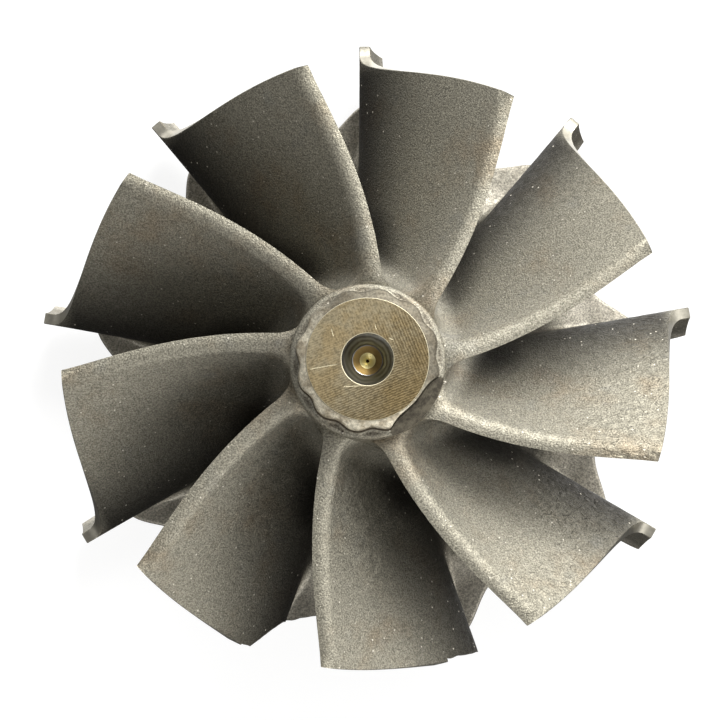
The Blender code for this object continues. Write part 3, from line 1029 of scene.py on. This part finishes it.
def ground_face_alloy(tree, place):
    """The nose face, sawn and then ground flat: olive-tan oxide with fine crossing tool lines."""
    patches, spots = (
        add(tree, "ShaderNodeTexNoise", {
            "Vector": place, "Scale": 1 / (size * MM), "Detail": 3.0, "Roughness": rough,
        })
        for size, rough in ((3.2, 0.6), (0.3, 0.7))
    )
    # Tool lines rise to the right at 22 degrees, and cross those at right angles on the upper right
    lines = []
    for angle, spacing in ((22, 0.25 * MM), (112, 0.3 * MM)):
        turned = add(tree, "ShaderNodeMapping", {"Vector": place, "Rotation": (0, 0, -math.radians(angle))})
        lines.append(add(tree, "ShaderNodeTexWave", {
            "Vector": turned, "Scale": WAVE / spacing, "Distortion": 3.0, "Detail": 3.0, "Detail Scale": 2.5,
        }, bands_direction="Y").outputs["Fac"])
    uneven = []
    for axis, spread in (((0.5, 0.87, 0), 9 * MM), ((0.8, -0.6, 0), 8 * MM)):
        along = add(tree, "ShaderNodeVectorMath", {0: place, 1: axis}, operation="DOT_PRODUCT")
        uneven.append(add(tree, "ShaderNodeMath", {
            0: patches, 1: spread, 2: along.outputs["Value"],
        }, operation="MULTIPLY_ADD"))
    upper, lower = uneven
    share = {
        name: add(tree, "ShaderNodeMapRange", {0: value, 1: start, 2: end, 3: first, 4: last}, **SOFT)
        for name, (value, start, end, first, last) in {
            "worn": (patches, 0.45, 0.68, 0, 0.85),
            "crossed": (upper, 4.5 * MM, 8 * MM, 0, 0.8),
            "depth": (lower, 1.5 * MM, 6.5 * MM, 0.25, 0.75),
            "brown": (lower, 3 * MM, 9 * MM, 0, 0.5),
            "mottle": (spots, 0.35, 0.7, 1.15, 0.62),
        }.items()
    }
    marks = add(tree, "ShaderNodeMix", {0: share["crossed"], 2: lines[0], 3: lines[1]})
    shades = add(tree, "ShaderNodeMath", {0: marks, 1: share["depth"]}, operation="MULTIPLY")
    tone = bpy.context.scene.turbine_wheel.face_colour
    for cover, code in ((share["worn"], "#A08F6C"), (share["brown"], "#85724C"), (shades, "#54452A")):
        tone = add(tree, "ShaderNodeMix", {0: cover, 6: tone, 7: linear(code)}, data_type="RGBA").outputs[2]
    tone = add(tree, "ShaderNodeVectorMath", {0: tone, 1: share["mottle"]}, operation="MULTIPLY")
    bump = add(tree, "ShaderNodeBump", {"Strength": 0.7, "Distance": 0.015 * MM, "Height": shades})
    return {"Base Color": tone, "Roughness": 0.45, "Normal": bump}


def rubbed_alloy(tree, place):
    """Scratches and rubbed edges of the nose face: bright bare metal under the oxide."""
    return {"Base Color": linear("#BDB59C"), "Roughness": 0.6}


def drilled_alloy(tree, place):
    """The drilled cone: bare grey metal with uneven turning rings and a painted highlight on the lower left.
    """
    rings = add(tree, "ShaderNodeTexWave", {
        "Vector": place, "Scale": WAVE / (0.45 * MM), "Distortion": 4.0, "Detail": 3.0, "Detail Scale": 0.6,
    }, wave_type="RINGS", rings_direction="Z").outputs["Fac"]
    # Painted highlight: the rings are painted brighter toward the lower left, where the cone faces the light
    lower = add(tree, "ShaderNodeVectorMath", {0: place, 1: (-0.6, -0.8, 0)}, operation="DOT_PRODUCT")
    bright = add(tree, "ShaderNodeMapRange", {
        0: lower.outputs["Value"], 1: 0.4 * MM, 2: 2.4 * MM, 3: 0.0, 4: 0.75,
    }, **SOFT)
    bright = add(tree, "ShaderNodeMath", {0: bright, 1: rings}, operation="MULTIPLY")
    tone = linear("#7F7F7D")
    for cover, code in ((rings, "#4E4D4A"), (bright, "#C4C4C2")):
        tone = add(tree, "ShaderNodeMix", {0: cover, 6: tone, 7: linear(code)}, data_type="RGBA").outputs[2]
    bump = add(tree, "ShaderNodeBump", {"Strength": 0.4, "Distance": 0.01 * MM, "Height": rings})
    return {"Base Color": tone, "Roughness": 0.33, "Normal": bump}


def heat_tinted_alloy(tree, place):
    """The drill's seat, tinted brown and amber by the drilling heat."""
    patches = add(tree, "ShaderNodeTexNoise", {"Vector": place, "Scale": 1 / (0.9 * MM)})
    tone = add(tree, "ShaderNodeMix", {
        0: patches, 6: linear("#8E7748"), 7: linear("#564426"),
    }, data_type="RGBA").outputs[2]
    return {"Base Color": tone, "Roughness": 0.4}


def straw_tinted_alloy(tree, place):
    """The pilot hole, a bright straw yellow: thin heat oxide over smooth drilled metal."""
    return {"Base Color": linear("#F4E6A8"), "Roughness": 0.35}


def hand_ground_alloy(tree, place):
    """The balance cut: bare grey metal with grinding lines that run round the nose."""
    rings = add(tree, "ShaderNodeTexWave", {
        "Vector": place, "Scale": WAVE / (0.22 * MM), "Distortion": 2.0, "Detail": 3.0,
    }, wave_type="RINGS", rings_direction="Z").outputs["Fac"]
    smears = add(tree, "ShaderNodeTexNoise", {
        "Vector": place, "Scale": 1 / (0.9 * MM), "Detail": 4.0, "Roughness": 0.7,
    })
    smeared = add(tree, "ShaderNodeMapRange", {0: smears, 1: 0.35, 2: 0.65}, **SOFT)
    tone = add(tree, "ShaderNodeMix", {
        0: smeared, 6: linear("#5C574B"), 7: linear("#3D3932"),
    }, data_type="RGBA").outputs[2]
    bump = add(tree, "ShaderNodeBump", {"Strength": 0.5, "Distance": 0.012 * MM, "Height": rings})
    return {"Base Color": tone, "Roughness": 0.5, "Normal": bump}


def drive_chamfer_alloy(tree, place):
    """The drive's chamfer and points: paler on the lower left, brown-grey on the upper right."""
    patches, fine = (
        add(tree, "ShaderNodeTexNoise", {
            "Vector": place, "Scale": 1 / (size * MM), "Detail": 3.0, "Roughness": rough,
        })
        for size, rough in ((1.6, 0.6), (0.3, 0.7))
    )
    upper = add(tree, "ShaderNodeVectorMath", {0: place, 1: (0.6, 0.8, 0)}, operation="DOT_PRODUCT")
    dull, away, speckle = (
        add(tree, "ShaderNodeMapRange", {0: value, 1: start, 2: end, 3: first, 4: last}, **SOFT)
        for value, start, end, first, last in (
            (patches, 0.42, 0.62, 0, 0.7),
            (upper.outputs["Value"], -3.5 * MM, 3.5 * MM, 0, 0.86),
            (fine, 0.32, 0.68, 0.7, 1.3),
        )
    )
    tone = linear("#C9C2AF")
    for cover, code in ((dull, "#968A74"), (away, "#4A453B")):
        tone = add(tree, "ShaderNodeMix", {0: cover, 6: tone, 7: linear(code)}, data_type="RGBA").outputs[2]
    tone = add(tree, "ShaderNodeVectorMath", {0: tone, 1: speckle}, operation="MULTIPLY")
    bump = add(tree, "ShaderNodeBump", {"Strength": 1.0, "Distance": 0.04 * MM, "Height": fine})
    return {"Base Color": tone, "Roughness": 0.62, "Normal": bump}


def fractured_alloy(tree, place):
    """Snapped casting: a rough crystalline grey, a little brighter than the blasted skin."""
    crystals = add(tree, "ShaderNodeTexVoronoi", {"Vector": place, "Scale": 1 / (0.35 * MM)})
    shades = add(tree, "ShaderNodeMapRange", {0: crystals, 1: 0.0, 2: 0.8, 3: 1.2, 4: 0.6})
    tone = add(tree, "ShaderNodeVectorMath", {0: linear("#8F8B82")[:3], 1: shades}, operation="MULTIPLY")
    bump = add(tree, "ShaderNodeBump", {"Strength": 1.0, "Distance": 0.1 * MM, "Height": crystals})
    return {"Base Color": tone, "Roughness": 0.5, "Normal": bump}


def casting_bead_alloy(tree, place):
    """Beads of the casting, rubbed a little brighter than the skin round them."""
    return {"Base Color": linear("#A09B8F"), "Roughness": 0.4}


def matt_paper(tree, place):
    """Matt paper over a light table: a plain pale floor with no shine."""
    stage = bpy.context.scene.turbine_stage
    return {
        "Metallic": 0.0,
        "Base Color": stage.floor_colour,
        "Roughness": 0.9,
        "Emission Color": (1, 1, 1, 1),
        "Emission Strength": stage.floor_glow,
    }


def make_camera():
    """The photograph's camera."""
    data = bpy.data.cameras.new("camera")
    camera = bpy.data.objects.new("camera", data)
    aim = Vector((0, -math.sin(CAMERA_TILT), math.cos(CAMERA_TILT)))
    camera.location = Vector((0, 0, NOSE_TOP)) + aim * CAMERA_DISTANCE
    camera.rotation_euler = aim.to_track_quat("Z", "Y").to_euler()
    data.sensor_width = SENSOR
    data.lens = SENSOR * CAMERA_DISTANCE / METRES_PER_PIXEL / PICTURE_SIDE
    data.shift_x = (PICTURE_SIDE / 2 - NOSE_PIXEL[0]) / PICTURE_SIDE
    data.shift_y = (NOSE_PIXEL[1] - PICTURE_SIDE / 2) / PICTURE_SIDE
    data.clip_start = CAMERA_CLIP
    bpy.context.scene.collection.objects.link(camera)
    bpy.context.scene.camera = camera


def make_key_light(power):
    """A large soft light that looks at the wheel."""
    data = bpy.data.lights.new("key", "AREA")
    data.shape = "DISK"
    data.size = KEY_SIZE
    data.energy = power
    light = bpy.data.objects.new("key", data)
    light.location = KEY_PLACE
    light.rotation_euler = (Vector(KEY_PLACE) - Vector(KEY_AIM)).to_track_quat("Z", "Y").to_euler()
    bpy.context.scene.collection.objects.link(light)


def make_floor():
    """A wide plain floor just below the wheel, left out of its light and reflections."""
    half, drop = FLOOR_HALF, FLOOR_DROP
    corners = [(-half, -half, -drop), (half, -half, -drop), (half, half, -drop), (-half, half, -drop)]
    floor = new_object("floor", corners, [(0, 1, 2, 3)], [finish("floor")])
    floor.visible_diffuse = False
    floor.visible_glossy = False


def make_sky(strength):
    """A pale room all round, darker overhead and below the table's edge on the lower left."""
    world = bpy.data.worlds.new("studio")
    world.use_nodes = True
    tree = world.node_tree
    direction = add(tree, "ShaderNodeTexCoord").outputs["Generated"]
    up = add(tree, "ShaderNodeSeparateXYZ", {"Vector": direction}).outputs["Z"]
    right, key_side = (
        add(tree, "ShaderNodeVectorMath", {0: direction, 1: axis}, operation="DOT_PRODUCT").outputs["Value"]
        for axis in ((0.97, -0.26, 0), (0.17, 0.985, 0))
    )
    room, table, level, fade = (
        add(tree, "ShaderNodeMapRange", {0: value, 1: start, 2: end, 3: first, 4: last}, **SOFT)
        for value, start, end, first, last in (
            (right, -0.9, 0.9, 0.32, 1.5),
            (key_side, 0, 0.9, 0.05, 1.9),
            (up, -0.1, 0.25, 0, 1),
            (up, 0.45, 0.85, 1, 0.2),
        )
    )
    sides = add(tree, "ShaderNodeMix", {0: level, 2: table, 3: room})
    light = add(tree, "ShaderNodeMath", {0: sides, 1: fade}, operation="MULTIPLY")
    tree.links.new(light.outputs[0], tree.nodes["Background"].inputs["Color"])
    tree.nodes["Background"].inputs["Strength"].default_value = strength
    bpy.context.scene.world = world


class WHEEL_OT_casting(bpy.types.Operator):
    """Builds the blades, hub and nose, and joins them into one casting"""

    bl_idname = "turbine.casting"
    bl_label = "Wheel casting"

    def execute(self, context):
        wheel = context.scene.turbine_wheel
        casting = make_hub(wheel)
        combine(casting, [make_blade_ring(wheel), make_nose(), *make_nubs()], "UNION")
        breaks = [make_break_cutter(edge, i) for i, edge in enumerate(BREAKS)]
        combine(casting, [make_balance_cutter(), *make_scratch_cutters(), *breaks], "DIFFERENCE")
        casting.name = "turbine_casting"
        casting.data.name = "turbine_casting"
        tree = openness_tree(finish("cast"))
        run_tree(casting, tree, {"Rays": RAYS, "Start": RAY_START, "Blur": SKY_BLUR})
        shade(casting, SHARP_ANGLE)
        keep_piece(casting)
        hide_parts(SOLID)
        return {"FINISHED"}


def bead_tree(material):
    """Scatters small rough beads over the cast faces."""
    tree, given = new_tree("beads", (
        ("Casting", "NodeSocketObject"),
        ("Density", "NodeSocketFloat"),
        ("Smallest", "NodeSocketFloat"),
        ("Largest", "NodeSocketFloat"),
        ("Seed", "NodeSocketInt"),
    ))
    casting = add(tree, "GeometryNodeObjectInfo", {"Object": given["Casting"]})
    position = add(tree, "GeometryNodeInputPosition")
    height = add(tree, "ShaderNodeSeparateXYZ", {"Vector": position}).outputs["Z"]
    flat = add(tree, "ShaderNodeVectorMath", {0: position, 1: (1, 1, 0)}, operation="MULTIPLY")
    radius = add(tree, "ShaderNodeVectorMath", {0: flat}, operation="LENGTH").outputs["Value"]
    blades = True
    for value, operation, limit in (
        (height, "GREATER_THAN", 4 * MM), (height, "LESS_THAN", 32 * MM), (radius, "LESS_THAN", 32.5 * MM),
    ):
        inside = add(tree, "FunctionNodeCompare", {0: value, 1: limit}, operation=operation)
        blades = add(tree, "FunctionNodeBooleanMath", {0: blades, 1: inside}, operation="AND")
    points = add(tree, "GeometryNodeDistributePointsOnFaces", {
        "Mesh": casting.outputs["Geometry"],
        "Selection": blades,
        "Density": given["Density"],
        "Seed": given["Seed"],
    })
    size = add(tree, "FunctionNodeRandomValue", {
        2: given["Smallest"], 3: given["Largest"], "Seed": given["Seed"],
    }, data_type="FLOAT")
    bead = add(tree, "GeometryNodeMeshIcoSphere", {"Radius": 1.0, "Subdivisions": 1})
    beads = add(tree, "GeometryNodeInstanceOnPoints", {
        "Points": points,
        "Instance": bead,
        "Rotation": points.outputs["Rotation"],
        "Scale": size.outputs[1],
    })
    real = add(tree, "GeometryNodeRealizeInstances", {"Geometry": beads})
    done = add(tree, "GeometryNodeSetMaterial", {"Geometry": real, "Material": material})
    add(tree, "NodeGroupOutput", {"Geometry": done})
    return tree


class WHEEL_OT_beads(bpy.types.Operator):
    """Scatters the casting's small beads over its blades and hub"""

    bl_idname = "turbine.beads"
    bl_label = "Casting beads"

    def execute(self, context):
        wheel = context.scene.turbine_wheel
        casting = bpy.data.objects["turbine_casting"]
        area = sum(face.area for face in casting.data.polygons)
        beads = new_object("casting_beads", [], [])
        run_tree(beads, bead_tree(finish("bead")), {
            "Casting": casting,
            "Density": wheel.beads / area,
            "Smallest": BEAD_SMALLEST,
            "Largest": BEAD_LARGEST,
            "Seed": BEAD_SEED,
        })
        beads.data.shade_smooth()
        keep_piece(beads)
        return {"FINISHED"}


class WHEEL_OT_stage(bpy.types.Operator):
    """Adds the floor, the lights and the camera"""

    bl_idname = "turbine.stage"
    bl_label = "Stage"

    def execute(self, context):
        stage = context.scene.turbine_stage
        make_floor()
        make_key_light(stage.key_power)
        make_sky(stage.sky)
        make_camera()
        context.scene.view_settings.view_transform = "Standard"
        return {"FINISHED"}


class WHEEL_PT_panel(bpy.types.Panel):
    """Settings and steps of the turbine wheel"""

    bl_idname = "WHEEL_PT_panel"
    bl_label = "Turbine wheel"
    bl_space_type = "VIEW_3D"
    bl_region_type = "UI"
    bl_category = "Turbine wheel"

    def draw(self, context):
        layout = self.layout
        for group, steps in (
            (context.scene.turbine_wheel, ("turbine.casting", "turbine.beads")),
            (context.scene.turbine_stage, ("turbine.stage",)),
        ):
            box = layout.box()
            for name in group.__annotations__:
                box.prop(group, name)
            for step in steps:
                box.operator(step)


CLASSES = (WheelSettings, StageSettings, WHEEL_OT_casting, WHEEL_OT_beads, WHEEL_OT_stage, WHEEL_PT_panel)


def register():
    for cls in CLASSES:
        bpy.utils.register_class(cls)
    bpy.types.Scene.turbine_wheel = PointerProperty(type=WheelSettings)
    bpy.types.Scene.turbine_stage = PointerProperty(type=StageSettings)


def unregister():
    del bpy.types.Scene.turbine_stage
    del bpy.types.Scene.turbine_wheel
    for cls in reversed(CLASSES):
        bpy.utils.unregister_class(cls)


def main():
    register()
    bpy.ops.turbine.casting()
    bpy.ops.turbine.beads()
    bpy.ops.turbine.stage()


if __name__ == "__main__":
    main()
